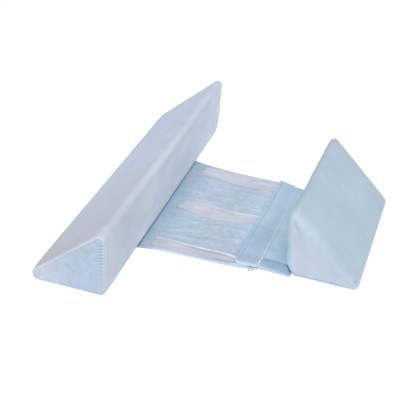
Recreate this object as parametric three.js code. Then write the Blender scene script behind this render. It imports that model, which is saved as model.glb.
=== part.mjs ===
// Side sleep pillow: two filled wedges joined by a plush panel and a flap that grips it.
// Millimetres, +Z up. +Y runs along the long wedge, and +X from the long wedge to the short.
// Plan positions are measured from the near inner bottom corner of the long wedge. The
// finished group is moved so that the middle of its footprint is the origin.
import * as THREE from 'three';

// Filled wedges. Base, height and lean are those of the section's sharp corners, and lean is
// how far the ridge overhangs the inner bottom edge. Drift is how far the ridge moves out by
// the far end, and blunt is how square the outer edge is pressed where it rests. Skew is how
// far each end runs forward at the outer edge. Drawn is the stretch where the cloth is drawn
// in, and lifted the share of an end's inset at its base. Steps are facets on each stretch.
const LONG_WEDGE = {
  length: 415.6,
  base: 113,
  height: 97.2,
  lean: 9.4,
  drift: 0,
  round: { inner: 6, outer: 9, ridge: 7 },
  blunt: 3.4,
  crown: { slope: 2, inner: 1.5 },
  skew: { near: 0, far: -5, reach: 70 },
  drawn: 46,
  lifted: 0.4,
  steps: { slope: 8, inner: 6, base: 3, corner: 4, length: 20 },
  sway: { across: 0.9, up: 0.6, wave: 310, phase: 0.4 },
};
const SHORT_WEDGE = {
  length: 192.4,
  base: 96.6,
  height: 100,
  lean: 3.8,
  drift: 2.6,
  round: { inner: 12, outer: 7.2, ridge: 6.8 },
  blunt: 2.4,
  crown: { slope: 2.6, inner: 2.5 },
  skew: { near: 2.2, far: 0, reach: 70 },
  drawn: 9,
  lifted: 0.35,
  steps: { slope: 8, inner: 6, base: 3, corner: 4, length: 10 },
  sway: { across: 0.5, up: 0.4, wave: 240, phase: 1.9 },
};
const LONG_PLACE = { x: 0.7, y: 1.4, turn: 0.13 };
const SHORT_PLACE = { x: 193.4, y: 107.4, turn: 2.3 };
const STUFFING = { depth: 0.5, along: 74, around: 0.9 };

// Rings that turn the section in to the end panel: how far from the end, and how far in.
const WELTED_END = [
  { back: 9, inset: 0 },
  { back: 4, inset: 0.2 },
  { back: 1.4, inset: 0.2 },
  { back: 0.4, inset: 0.9 },
  { back: 0, inset: 2.2 },
  { back: 0.3, inset: 4.6 },
];
const SOFT_END = [
  { back: 10, inset: 0 },
  { back: 5.2, inset: 0.8 },
  { back: 2, inset: 3 },
  { back: 0.2, inset: 8.2 },
];
const TIGHT_END = [
  { back: 4.6, inset: 0 },
  { back: 2.4, inset: 0.4 },
  { back: 0.9, inset: 1.4 },
  { back: 0.3, inset: 4 },
];
// Rings of the end panel itself, as a share of its outline, and how far it bulges there.
const END_PANEL = [
  { share: 0.68, bulge: 0.2 },
  { share: 0.36, bulge: 0.3 },
];

// Cloth thicknesses, and the air left between pieces that touch.
const PIECE_GAP = 0.3;
const PANEL_THICK = 2;
const TAPE_THICK = 1.1;
const FLAP_THICK = 2;

// Lines that run across the base panel, as y at each x.
const PANEL_X = [0.9, 22, 46, 75, 105, 132, 156.8];
const PANEL_LINES = {
  near: [96.6, 98.3, 98.7, 98.5, 98.5, 99.7, 101.8],
  nearLow: [101.2, 103.6, 103.2, 102.8, 104.2, 106.4, 108.6],
  nearHigh: [122, 124, 122.6, 120.8, 120.2, 120.6, 121.6],
  midLow: [194, 192, 186.8, 181.6, 183.8, 190, 192],
  midHigh: [208, 211, 213.6, 210, 206.8, 209.6, 212],
  farLow: [283, 281.6, 278.6, 273.8, 271.2, 271.8, 272.4],
  farHigh: [300, 299, 298.2, 296.8, 295.4, 295, 294.6],
  far: [314.6, 309.4, 304.6, 301.8, 301, 301, 299.8],
};
const PANEL_BANDS = [
  { from: 'near', to: 'nearLow', rows: 2 },
  { from: 'nearLow', to: 'nearHigh', rows: 7 },
  { from: 'nearHigh', to: 'midLow', rows: 15 },
  { from: 'midLow', to: 'midHigh', rows: 4 },
  { from: 'midHigh', to: 'farLow', rows: 12 },
  { from: 'farLow', to: 'farHigh', rows: 4 },
  { from: 'farHigh', to: 'far', rows: 2 },
];
// Columns of the panel: narrow at the seam, even over the open part, narrow at the loose end.
const PANEL_COLUMNS = [
  { start: 0.9, step: 4, count: 3 },
  { start: 14, step: 7, count: 17 },
  { start: 133, step: 3.4, count: 8 },
];
const PANEL_HEM = { width: 4, extra: 0.8 };

// The panel's relief. Crinkles run from left to right, and grow away from the seam.
const CRINKLES = [
  { pitch: 17, height: 0.85, bend: 5, reach: 61, phase: 0.3 },
  { pitch: 10.5, height: 0.45, bend: 3.2, reach: 38, phase: 2.2 },
];
const CRINKLE_BASE = { trough: -0.4, lift: 0.5 };
const UNDER_TAPE = 0.3;
const UNDER_FLAP = { from: 122, to: 136, keep: 0.25 };
const SEAM_FLAT = { from: 3, to: 26 };
const PUCKERS = { x: 108, y: 152, width: 26, depth: 34, pitch: 13, height: 0.8 };
// The near tape's far edge stands up in a long curl, which the flap presses down.
const CURL = { height: 4.8, nearHalf: 4.4, farHalf: 2.4, back: 1.7, from: 18, full: 80 };
const CURL_PRESSED = { from: 110, to: 127, keep: 0.08 };
// The panel's loose near corner is bunched, and its edge sticks out under the flap.
const BUNCH = { x: 147, half: 9.5, out: 2.5, height: 2.6, pitch: 6.4, depth: 6 };

// Tapes lie on the panel: the band they cover, and the start of each long edge.
const TAPE_END = 150;
const TAPES = [
  { name: 'loop_tape_near', band: 1, startLow: 14.2, startHigh: 16.6 },
  { name: 'loop_tape_middle', band: 3, startLow: 17.4, startHigh: 25 },
  { name: 'loop_tape_far', band: 5, startLow: 22, startHigh: 23.4 },
];

// The flap, from its hemmed edge over the panel to its seam on the short wedge.
const FLAP_LEFT = { nearX: 126.4, farX: 136.6 };
const FLAP_TUCK = 4;
const FLAP_NEAR = {
  x: [126.4, 145, 163, 174, 188, 194, 197.4],
  y: [107.6, 106.2, 104.6, 104.4, 104.9, 105, 107.2],
};
const FLAP_FAR = {
  x: [136.6, 148, 154.5, 167, 173, 190, 205],
  y: [299, 296.6, 292.8, 287.7, 285.2, 281, 278],
};
const FLAP_COLUMNS = [0, 2, 4.4, 5.8, 8, 14, 21, 27, 29.4, 31, 37, 43, 49, 54, 58, 62, 65, 68, 71];
const FLAP_ROWS = { fine: 12, fineTo: 124, coarse: 16 };
const FLAP_HEM = { width: 4.4, extra: 1, groove: 5.8, stitch: 29.4, sunk: 0.5 };
const FLAP_OVER = { height: 4.4, low: 0.3, from: 156, to: 190 };
const FLAP_ROLL = { height: 7, deep: 20.5, from: 146, full: 176 };
const FLAP_ROLL_END = { from: 184, to: 197, deep: 5 };
const FLAP_REST = { height: 1.6, reach: 29 };
const FLAP_WAVE = { height: 0.7, along: 57, across: 41 };

// Materials, by eye from the photograph.
const cloth = (color, roughness) => new THREE.MeshStandardMaterial({ color, roughness, metalness: 0 });
const LONG_PLUSH = cloth(0xb9c8dc, 0.9);
const SHORT_PLUSH = cloth(0xb4c8dc, 0.88);
const PANEL_PLUSH = cloth(0xa9c2dd, 0.94);
const FLAP_PLUSH = cloth(0xa3bcd8, 0.9);
const TAPE_WEAVE = cloth(0xcac8dc, 0.8);

const { lerp, smoothstep, clamp, degToRad } = THREE.MathUtils;

// Smooth curve through a short table.
function along(xs, ys, x) {
  const last = xs.length - 1;
  let i = 0;
  while (i < last - 1 && x > xs[i + 1]) i += 1;
  const slope = (k) => {
    const a = Math.max(k - 1, 0);
    const b = Math.min(k + 1, last);
    return (ys[b] - ys[a]) / (xs[b] - xs[a]);
  };
  const width = xs[i + 1] - xs[i];
  const t = clamp((x - xs[i]) / width, 0, 1);
  const t2 = t * t;
  const t3 = t2 * t;
  return (2 * t3 - 3 * t2 + 1) * ys[i] + (t3 - 2 * t2 + t) * width * slope(i)
    + (3 * t2 - 2 * t3) * ys[i + 1] + (t3 - t2) * width * slope(i + 1);
}

function closedGeometry(points, faces) {
  const geometry = new THREE.BufferGeometry();
  const numbers = points.flatMap((p) => p.toArray());
  geometry.setAttribute('position', new THREE.Float32BufferAttribute(numbers, 3));
  geometry.setIndex(faces.flat());
  geometry.computeVertexNormals();
  return geometry;
}

// Reach of the outer edge's round, its lower quarter pressed square where it rests.
function blunted(normal, power) {
  if (normal.x <= 0 || normal.y >= 0) return normal.clone();
  return new THREE.Vector2(normal.x ** (2 / power), -((-normal.y) ** (2 / power)));
}

// Section of a wedge: outline points with their outward normals, crown and share of the base.
function wedgeSection({ base, height, lean, round, blunt, crown, steps }) {
  const corners = [
    { at: new THREE.Vector2(0, 0), radius: round.inner, blunt: 2 },
    { at: new THREE.Vector2(base, 0), radius: round.outer, blunt },
    { at: new THREE.Vector2(-lean, height), radius: round.ridge, blunt: 2 },
  ];
  const sides = [
    { steps: steps.base, crown: 0 },
    { steps: steps.slope, crown: crown.slope },
    { steps: steps.inner, crown: crown.inner },
  ];
  const arcs = corners.map(({ at, radius, blunt: power }, i) => {
    const back = corners[(i + 2) % 3].at.clone().sub(at).normalize();
    const on = corners[(i + 1) % 3].at.clone().sub(at).normalize();
    const half = Math.acos(back.dot(on)) / 2;
    const centre = back.clone().add(on).setLength(radius / Math.sin(half)).add(at);
    const from = back.multiplyScalar(radius / Math.tan(half)).add(at).sub(centre);
    const turn = Math.PI - 2 * half;
    return { centre, radius, turn, power, start: from.angle() };
  });
  const outline = [];
  arcs.forEach(({ centre, radius, turn, power, start }, i) => {
    for (let k = 0; k <= steps.corner; k += 1) {
      const angle = start + (turn * k) / steps.corner;
      const normal = new THREE.Vector2(Math.cos(angle), Math.sin(angle));
      const at = blunted(normal, power).multiplyScalar(radius).add(centre);
      const onBase = [k / steps.corner, 1 - k / steps.corner, 0][i];
      outline.push({ at, normal, crown: 0, onBase });
    }
    const next = arcs[(i + 1) % 3];
    const first = outline[outline.length - 1];
    const nextFrom = new THREE.Vector2(Math.cos(next.start), Math.sin(next.start));
    const last = nextFrom.multiplyScalar(next.radius).add(next.centre);
    for (let k = 1; k < sides[i].steps; k += 1) {
      const share = k / sides[i].steps;
      const at = first.at.clone().lerp(last, share);
      const bulge = sides[i].crown * Math.sin(Math.PI * share);
      outline.push({ at, normal: first.normal, crown: bulge, onBase: i === 0 ? 1 : 0 });
    }
  });
  return outline;
}

// A filled wedge from y = 0 to its length. Outwards is +X for side 1 and -X for side -1.
function wedge(spec, side, nearRings, farRings) {
  const outline = wedgeSection(spec);
  const { length, base, height, sway, skew, steps } = spec;
  const points = [];
  const rings = [];
  const middleOf = (ring) => ring
    .reduce((sum, i) => sum.add(points[i]), new THREE.Vector3())
    .divideScalar(ring.length);
  // Ring of the section at one place along the wedge, set in by a distance.
  const addRing = (y, inset) => {
    const drawn = smoothstep(Math.min(y, length - y), 0, spec.drawn);
    const lean = Math.sin((2 * Math.PI * y) / sway.wave + sway.phase);
    const forward = skew.near * (1 - smoothstep(y, 0, skew.reach))
      + skew.far * smoothstep(y, length - skew.reach, length);
    const ring = outline.map(({ at, normal, crown, onBase }, k) => {
      const wave = Math.sin(y / STUFFING.along * 2 * Math.PI + k * STUFFING.around);
      const soft = crown * drawn + (crown > 0 ? STUFFING.depth * drawn * wave : 0);
      const reach = soft - inset * lerp(1, spec.lifted, onBase);
      const share = at.y / height;
      const leaning = sway.across * lean + (spec.drift * y) / length;
      const across = at.x + normal.x * reach + leaning * share;
      const up = at.y + normal.y * reach + sway.up * lean * share * drawn;
      points.push(new THREE.Vector3(side * across, y + (forward * across) / base, Math.max(up, 0)));
      return points.length - 1;
    });
    rings.push(ring);
  };
  // Ring inside the end panel, a share of its outline about its middle, moved out by a bulge.
  const addInner = (rim, share, bulge) => {
    const middle = middleOf(rim);
    return rim.map((i) => {
      const point = points[i].clone().lerp(middle, 1 - share);
      points.push(point.setY(point.y + bulge));
      return points.length - 1;
    });
  };
  [...nearRings].reverse().forEach(({ back, inset }) => addRing(back, inset));
  for (let k = 1; k < steps.length; k += 1) {
    addRing(lerp(nearRings[0].back, length - farRings[0].back, k / steps.length), 0);
  }
  farRings.forEach(({ back, inset }) => addRing(length - back, inset));
  const nearRim = rings[0];
  const farRim = rings[rings.length - 1];
  const nearPanel = END_PANEL.map(({ share, bulge }) => addInner(nearRim, share, -bulge));
  const farPanel = END_PANEL.map(({ share, bulge }) => addInner(farRim, share, bulge));
  const all = [...nearPanel.reverse(), ...rings, ...farPanel];
  const faces = [];
  const tri = (a, b, c) => faces.push(side > 0 ? [a, b, c] : [a, c, b]);
  const count = outline.length;
  for (let r = 0; r + 1 < all.length; r += 1) {
    for (let k = 0; k < count; k += 1) {
      const m = (k + 1) % count;
      tri(all[r][k], all[r + 1][m], all[r][m]);
      tri(all[r][k], all[r + 1][k], all[r + 1][m]);
    }
  }
  const cap = (ring, flip) => {
    points.push(middleOf(ring));
    const m = points.length - 1;
    ring.forEach((i, k) => {
      const j = ring[(k + 1) % count];
      if (flip) tri(m, j, i);
      else tri(m, i, j);
    });
  };
  cap(all[0], false);
  cap(all[all.length - 1], true);
  return closedGeometry(points, faces);
}

// A closed sheet from a grid of under and upper points, rows from near to far.
function sheet(under, upper) {
  const rows = under.length;
  const columns = under[0].length;
  const points = [...under.flat(), ...upper.flat()];
  const low = (r, c) => r * columns + c;
  const high = (r, c) => rows * columns + low(r, c);
  const faces = [];
  const quad = (a, b, c, d) => faces.push([a, b, c], [a, c, d]);
  for (let r = 0; r + 1 < rows; r += 1) {
    for (let c = 0; c + 1 < columns; c += 1) {
      quad(high(r, c), high(r, c + 1), high(r + 1, c + 1), high(r + 1, c));
      faces.push([low(r, c), low(r + 1, c + 1), low(r, c + 1)]);
      faces.push([low(r, c), low(r + 1, c), low(r + 1, c + 1)]);
    }
  }
  for (let c = 0; c + 1 < columns; c += 1) {
    quad(low(0, c), low(0, c + 1), high(0, c + 1), high(0, c));
    quad(low(rows - 1, c + 1), low(rows - 1, c), high(rows - 1, c), high(rows - 1, c + 1));
  }
  for (let r = 0; r + 1 < rows; r += 1) {
    quad(low(r + 1, 0), low(r, 0), high(r, 0), high(r + 1, 0));
    quad(low(r, columns - 1), low(r + 1, columns - 1), high(r + 1, columns - 1), high(r, columns - 1));
  }
  return closedGeometry(points, faces);
}

const raised = (grid, thick) => grid.map((row) => row.map((p) => p.clone().setZ(p.z + thick(p))));
const bell = (x) => Math.exp(-x * x);

// Height of the panel's underside over the floor.
function panelLift(x, y, onTape) {
  const open = smoothstep(x, SEAM_FLAT.from, SEAM_FLAT.to);
  const pressed = lerp(1, UNDER_FLAP.keep, smoothstep(x, UNDER_FLAP.from, UNDER_FLAP.to));
  let crinkle = 0;
  CRINKLES.forEach(({ pitch, height, bend, reach, phase }) => {
    const turn = (2 * Math.PI * (y + bend * Math.sin(x / reach + phase))) / pitch;
    crinkle += height * Math.max(Math.sin(turn + phase), CRINKLE_BASE.trough);
  });
  const near = bell((x - PUCKERS.x) / PUCKERS.width) * bell((y - PUCKERS.y) / PUCKERS.depth);
  crinkle += PUCKERS.height * near * Math.sin((2 * Math.PI * (x + 0.6 * y)) / PUCKERS.pitch);
  const flat = onTape ? UNDER_TAPE : 1;
  const grow = smoothstep(x, CURL.from, CURL.full);
  const hold = lerp(1, CURL_PRESSED.keep, smoothstep(x, CURL_PRESSED.from, CURL_PRESSED.to));
  const crest = along(PANEL_X, PANEL_LINES.nearHigh, x) - CURL.back;
  const half = y < crest ? CURL.nearHalf : CURL.farHalf;
  const curl = CURL.height * grow * hold * bell((y - crest) / half);
  const edge = along(PANEL_X, PANEL_LINES.near, x);
  const bunched = bell((x - BUNCH.x) / BUNCH.half) * (1 - smoothstep(y, edge, edge + BUNCH.depth));
  const bunch = BUNCH.height * bunched * (0.5 + 0.5 * Math.sin((2 * Math.PI * x) / BUNCH.pitch));
  return Math.max(open * pressed * flat * (crinkle + CRINKLE_BASE.lift) + curl + bunch, 0);
}

function panelGrid() {
  const xs = PANEL_COLUMNS.flatMap(({ start, step, count }) => (
    Array.from({ length: count }, (_, k) => start + step * k)));
  const stops = [];
  PANEL_BANDS.forEach(({ from, to, rows }, band) => {
    for (let k = band === 0 ? 0 : 1; k <= rows; k += 1) {
      stops.push({ from, to, band, share: k / rows });
    }
  });
  const grid = stops.map(({ from, to, band, share }) => xs.map((x) => {
    const low = along(PANEL_X, PANEL_LINES[from], x);
    const high = along(PANEL_X, PANEL_LINES[to], x);
    const out = band === 0 ? BUNCH.out * bell((x - BUNCH.x) / BUNCH.half) * (1 - share) : 0;
    const y = lerp(low, high, share) - out;
    return new THREE.Vector3(x, y, panelLift(x, y, TAPES.some((tape) => tape.band === band)));
  }));
  return { stops, grid };
}

const panel = panelGrid();
const panelThickness = ({ x, y }) => {
  const edge = along(PANEL_X, PANEL_LINES.near, x);
  const hem = 1 - smoothstep(y, edge, edge + PANEL_HEM.width);
  return PANEL_THICK + PANEL_HEM.extra * hem * smoothstep(x, SEAM_FLAT.from, SEAM_FLAT.to);
};
const panelTop = raised(panel.grid, panelThickness);

// A tape follows the panel's own rows, from its slanted start to its end under the flap.
function tapeGrid({ band, startLow, startHigh }) {
  const firstRow = panel.stops.findIndex((stop) => stop.band === band) - 1;
  const rows = PANEL_BANDS[band].rows;
  const grid = [];
  for (let k = 0; k <= rows; k += 1) {
    const row = panelTop[firstRow + k];
    const start = lerp(startLow, startHigh, k / rows);
    const next = row.findIndex((p) => p.x > start + 1);
    const share = (start - row[next - 1].x) / (row[next].x - row[next - 1].x);
    grid.push({ next, head: row[next - 1].clone().lerp(row[next], share), row });
  }
  const from = Math.max(...grid.map(({ next }) => next));
  return grid.map(({ head, row }) => [head, ...row.slice(from).filter((p) => p.x <= TAPE_END + 1)]
    .map((p) => p.clone().setZ(p.z + PIECE_GAP)));
}

// Place of the flap's seam, tucked under the short wedge's round edge, at a place along it.
const seamX = (y) => SHORT_PLACE.x + FLAP_TUCK
  + Math.tan(degToRad(SHORT_PLACE.turn)) * (y - SHORT_PLACE.y);

// The flap's grid: columns from its hem to its seam, rows from its rolled edge to its far edge.
function flapGrid() {
  const seam = { nearX: seamX(FLAP_NEAR.y.at(-1)), farX: seamX(FLAP_FAR.y.at(-1)) };
  const width = FLAP_COLUMNS[FLAP_COLUMNS.length - 1];
  const shares = [];
  const nearY = Math.min(...FLAP_NEAR.y);
  const fineShare = (FLAP_ROWS.fineTo - nearY) / (FLAP_FAR.y[0] - nearY);
  for (let k = 0; k <= FLAP_ROWS.fine; k += 1) {
    shares.push((fineShare * k) / FLAP_ROWS.fine);
  }
  for (let k = 1; k <= FLAP_ROWS.coarse; k += 1) {
    shares.push(lerp(fineShare, 1, k / FLAP_ROWS.coarse));
  }
  return shares.map((share) => FLAP_COLUMNS.map((distance) => {
    const s = distance / width;
    const nearX = lerp(FLAP_LEFT.nearX, seam.nearX, s);
    const farX = lerp(FLAP_LEFT.farX, seam.farX, s);
    const nearEdge = along(FLAP_NEAR.x, FLAP_NEAR.y, nearX);
    const y = lerp(nearEdge, along(FLAP_FAR.x, FLAP_FAR.y, farX), share);
    const x = lerp(nearX, farX, share);
    return new THREE.Vector3(x, y, flapLift(nearX, y, y - nearEdge));
  }));
}

// Height of the flap's underside, a distance in from its near edge: over the panel, then down
// to the seam, with a roll along the near edge.
function flapLift(x, y, inFrom) {
  const over = lerp(FLAP_OVER.height, FLAP_OVER.low, smoothstep(x, FLAP_OVER.from, FLAP_OVER.to));
  const seam = smoothstep(x, FLAP_ROLL_END.from, SHORT_PLACE.x + FLAP_TUCK);
  const ending = smoothstep(x, FLAP_ROLL_END.from, FLAP_ROLL_END.to);
  const deep = lerp(FLAP_ROLL.deep, FLAP_ROLL_END.deep, ending);
  const grow = smoothstep(x, FLAP_ROLL.from, FLAP_ROLL.full) * (1 - seam);
  const roll = FLAP_ROLL.height * grow * Math.sin(Math.PI * clamp(inFrom / deep, 0, 1));
  const beyond = smoothstep(inFrom, deep, deep + FLAP_REST.reach);
  const rest = FLAP_REST.height * beyond * smoothstep(x, FLAP_OVER.from, FLAP_OVER.to);
  const wave = 0.5 + 0.5 * Math.sin((2 * Math.PI * y) / FLAP_WAVE.along + x / FLAP_WAVE.across);
  return over + roll + (rest + FLAP_WAVE.height * wave) * (1 - seam);
}

function flapThickness(distance) {
  if (distance <= FLAP_HEM.width) return FLAP_THICK + FLAP_HEM.extra;
  if (distance === FLAP_HEM.groove || distance === FLAP_HEM.stitch) return FLAP_THICK - FLAP_HEM.sunk;
  return FLAP_THICK;
}

const pillow = new THREE.Group();

function add(name, geometry, material) {
  const mesh = new THREE.Mesh(geometry, material);
  mesh.name = name;
  pillow.add(mesh);
  return mesh;
}

const long = add('long_bolster', wedge(LONG_WEDGE, -1, WELTED_END, WELTED_END), LONG_PLUSH);
long.position.set(LONG_PLACE.x, LONG_PLACE.y, 0);
long.rotation.z = -degToRad(LONG_PLACE.turn);

const short = add('short_bolster', wedge(SHORT_WEDGE, 1, SOFT_END, TIGHT_END), SHORT_PLUSH);
short.position.set(SHORT_PLACE.x, SHORT_PLACE.y, 0);
short.rotation.z = -degToRad(SHORT_PLACE.turn);

add('base_panel', sheet(panel.grid, panelTop), PANEL_PLUSH);
TAPES.forEach((tape) => {
  const under = tapeGrid(tape);
  add(tape.name, sheet(under, raised(under, () => TAPE_THICK)), TAPE_WEAVE);
});

const flapUnder = flapGrid();
const flapUpper = flapUnder.map((row) => row.map((p, k) => (
  p.clone().setZ(p.z + flapThickness(FLAP_COLUMNS[k])))));
add('flap', sheet(flapUnder, flapUpper), FLAP_PLUSH);

// The middle of the footprint is the origin, and the wedges stand on z = 0.
const middle = new THREE.Box3().setFromObject(pillow).getCenter(new THREE.Vector3());
pillow.position.set(-middle.x, -middle.y, 0);

export default pillow;
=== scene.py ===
"""A side sleep pillow: a long and a short filled bolster, joined by a plush base panel with three
loop tapes and a hemmed flap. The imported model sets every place, and this script makes its cloth."""

import math
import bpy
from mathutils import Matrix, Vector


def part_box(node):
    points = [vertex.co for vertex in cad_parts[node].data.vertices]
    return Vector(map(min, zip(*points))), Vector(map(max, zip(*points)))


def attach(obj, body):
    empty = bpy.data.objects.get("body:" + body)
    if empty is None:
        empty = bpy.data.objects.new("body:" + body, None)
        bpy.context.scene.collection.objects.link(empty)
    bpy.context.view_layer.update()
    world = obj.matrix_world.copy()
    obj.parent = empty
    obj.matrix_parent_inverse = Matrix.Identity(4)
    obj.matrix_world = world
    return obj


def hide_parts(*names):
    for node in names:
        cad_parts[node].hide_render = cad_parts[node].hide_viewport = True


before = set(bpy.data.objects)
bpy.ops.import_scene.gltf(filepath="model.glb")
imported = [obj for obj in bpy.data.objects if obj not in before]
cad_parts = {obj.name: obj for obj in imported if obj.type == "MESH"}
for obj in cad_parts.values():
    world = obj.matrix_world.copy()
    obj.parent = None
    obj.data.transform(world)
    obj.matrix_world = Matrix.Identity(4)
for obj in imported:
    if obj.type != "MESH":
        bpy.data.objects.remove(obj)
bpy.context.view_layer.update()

from types import SimpleNamespace as Values

import bpy
import numpy as np
from mathutils import Vector
from mathutils.kdtree import KDTree

MM = 0.001
UP = (0, 0, 1)

# Sizes are in mm, in the pillow's layout: from the long bolster's near inner bottom corner,
# x toward the short bolster, y along the long one, z up.

# Bolsters. Each triple runs base, slope, inner side, or inner, outer and ridge corner. Drift is
# how far the ridge moves out by the far end, lifted the share of an end's inset at its base, and
# steady how little the outer edge moves as the bolster fills.
LONG = Values(
    length=415.6, base=113, height=97.2, lean=9.4, drift=0, lifted=0.4,
    round=(6, 9, 7), blunt=3.4, crown=(0, 2, 1.5), drawn=(46, 46),
    sway=Values(across=0.9, up=0.6, wave=310, phase=0.4), skew=Values(near=0, far=-5, reach=70),
    side=-1, place=(0.7, 1.4), turn=-0.13, steady=0.9)
SHORT = Values(
    length=192.6, base=96.6, height=100, lean=3.8, drift=2.6, lifted=0.35,
    round=(12, 7.2, 6.8), blunt=2.4, crown=(0, 2.6, 2.5), drawn=(8, 10),
    sway=Values(across=0.5, up=0.4, wave=240, phase=1.9), skew=Values(near=2.2, far=-1, reach=70),
    side=1, place=(193.4, 107.4), turn=-2.3, steady=0)
SIDE_STEPS = (14, 88, 80)
CORNER_STEPS = 15
COARSE_STEPS = (3, 8, 6)
COARSE_CORNER = 4
RING_STEP = 1.45
STUFFING = Values(depth=0.5, along=74, around=0.9)

# The end of a bolster, from its body round to its end panel: distance back from the end, and
# distance in from the section's outline.
WELTED_END = [
    (15, 0), (9, 0.05), (5, 0.2), (3, 0.3), (1.5, 0.45), (0.5, 0.9),
    (0, 1.7), (0, 2.6), (0.2, 3.5), (0.3, 4.4), (0.3, 5.4),
]
SOFT_END = [(15, 0), (10, 0), (6.6, 0.35), (4, 1.3), (2, 3), (0.7, 5.4), (0.2, 8.2)]
TIGHT_END = [(15, 0), (9, 0), (4.6, 0.05), (2.4, 0.4), (0.9, 1.4), (0.3, 3), (0.3, 5)]
END_STEPS = 4
FACE_STEPS = 26

# The filling: size of its even mesh in metres, its cloth, the most that it moves a place, the share
# of that at an end panel, how many mesh points move a place, and every which grid point is moved.
FILLING = Values(
    voxel=0.005, quality=5, mass=0.2, pressure=4, frames=20, cap=1.4, at_end=0.5, near=6, blur=0.6, step=3)

# The long bolster's welt, the fold beside it, and the crinkles of both bolsters' end panels.
WELT = Values(crest=0.45, back=1.3, half=1.2, pitch=4.1, teeth=0.4)
LIP_FOLD = Values(inset=3.4, half=0.9, depth=0.55)
END_CRINKLES = [
    Values(size=4.4, seed=5, depth=0.1, stretch=(3.4, 1, 1)),
    Values(size=2.6, seed=6, depth=0.05, stretch=(2.6, 1, 1)),
    Values(size=13, seed=7, depth=0.12, stretch=(1, 1, 1)),
]
# Soft folds across the long bolster's inner side: each one's y and half width, height, and painted shading, a
# highlight above zero and shade below.
INNER_FOLDS = Values(
    places=((5, 1.7), (9.6, 1.8), (14, 2.2)), heights=(0.3, -0.3, 0.25), tones=(0.05, -0.05, 0.02))
# The long bolster's far inner edge stands out half way up and is drawn in at its foot.
FAR_EDGE = Values(out=0.8, cut=1.2)
# The long bolster's outer edge: how far it stands out, where that eases, and its round corner.
OUTER_EDGE = Values(out=1.3, span=(220, 340), corner=0.6, reach=9)
# The short bolster's inner seam lies on its near end: its x at the floor and how it leans, and
# how far the cloth beyond it turns back.
FRONT_SEAM = Values(x=7.9, lean=0.125, top=82, back=3.2, ridge=0.35, half=2.1)
# The short bolster's inner side and its ridge stand out toward its near end, which has a dent.
FOOT_BULGE = Values(z=18, half=12, out=2.6)
RIDGE_BULGE = Values(low=24, high=66, out=2.1)
DENT = Values(x=81, z=12, half=3, depth=1.1)

# Panel, tapes and flap: cloth thickness and the lines that run across the panel, as y at each x.
# A span is where something grows from nothing to full, as two places in x.
PIECE_GAP = 0.3
PANEL_THICK = 2
TAPE_THICK = 1.1
FLAP_THICK = 2
PANEL_X = [0.9, 22, 46, 75, 105, 132, 156.8]
PANEL_LINES = {
    "near": [96.6, 98.5, 99.2, 99.4, 99.3, 100.4, 105],
    "near_low": [101.2, 104.2, 104.6, 103, 104.2, 106.4, 108.6],
    "near_high": [120.6, 123.4, 122.3, 119.6, 119.6, 119.4, 119.9],
    "middle_low": [194, 192, 186.8, 182.4, 185.2, 191.4, 193],
    "middle_high": [208, 211, 213.6, 210, 206.4, 207.6, 210],
    "far_low": [283, 281.6, 277.6, 271.8, 270.6, 271.8, 272.4],
    "far_high": [300, 299, 298.2, 296.8, 295.4, 295, 294.6],
    "far": [314.6, 309.4, 304.6, 301.6, 300.4, 300, 298.8],
}
# How far the panel's seam edge runs under the long bolster, how far past the bolster's edge it is
# moved and how far in, and how much thinner the cloth is there.
PANEL_TUCK = Values(first=1.8, past=0.9, reach=12, thinner=0.35)
CLOTH_STEP = 1.0
PANEL_HEM = Values(width=4, extra=0.8)
CRINKLES = [
    Values(pitch=17, height=0.55, bend=5, reach=61, phase=0.3),
    Values(pitch=10.5, height=0.25, bend=3.2, reach=38, phase=2.2),
]
CRINKLE_BASE = Values(trough=-0.4, lift=0.5)
UNDER_TAPE = 0.3
UNDER_FLAP = Values(span=(122, 136), keep=0.25)
SEAM_FLAT = (3, 26)
PUCKERS = Values(x=108, y=152, width=26, depth=34, pitch=13, height=0.5)
CURL = Values(height=3.5, near=3.4, far=2, back=3.4, over=0.8, span=(18, 80))
CURL_PRESSED = Values(span=(110, 127), keep=0.08)
CURL_FOLD = Values(in_front=2.9, half=0.95, depth=1.0, span=(26, 92))
LIP = Values(height=1.5, half=1.7, back=1.2, span=(84, 108))
BUNCH = Values(x=149.4, half=3.7, out=9.4, height=2.2, pitch=4.6, depth=4.2, reach=5)

# Creases of the panel, listed one by one: both ends, how far the middle bends, half width, height.
CREASES = [
    ((8, 148), (30, 150), 1, 2.2, 0.5),
    ((44, 160), (80, 177), 3, 1.7, 0.9),
    ((46, 156), (84, 171), 3, 1.5, -0.5),
    ((34, 133), (104, 137), -2, 1.8, 0.7),
    ((20, 141), (88, 154), 2, 1.6, 0.6),
    ((60, 142), (108, 147), 2, 1.4, 0.5),
    ((12, 170), (52, 176), -2, 1.7, 0.5),
    ((92, 166), (126, 172), 3, 1.6, 0.6),
    ((96, 174), (128, 180), -2, 1.3, -0.5),
    ((110, 128), (115, 152), 3, 1.3, 0.8),
    ((115, 128), (121, 150), 3, 1.1, 0.7),
    ((121, 127), (126, 146), 2, 1.0, 0.7),
    ((106, 131), (109, 148), 3, 1.2, -0.5),
    ((32, 224), (48, 232), 3, 1.7, 0.9),
    ((30, 238), (56, 236), -3, 1.6, 0.6),
    ((84, 228), (98, 219), 3, 1.5, 0.8),
    ((62, 246), (128, 241), 3, 1.5, 0.6),
    ((70, 229), (130, 232), -3, 1.3, 0.5),
    ((20, 256), (80, 259), 2, 1.7, 0.5),
    ((84, 254), (131, 259), 2, 1.4, 0.5),
    ((100, 221), (131, 219), 1, 1.3, 0.6),
    ((48, 268), (96, 264), -2, 1.6, 0.4),
]
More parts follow.
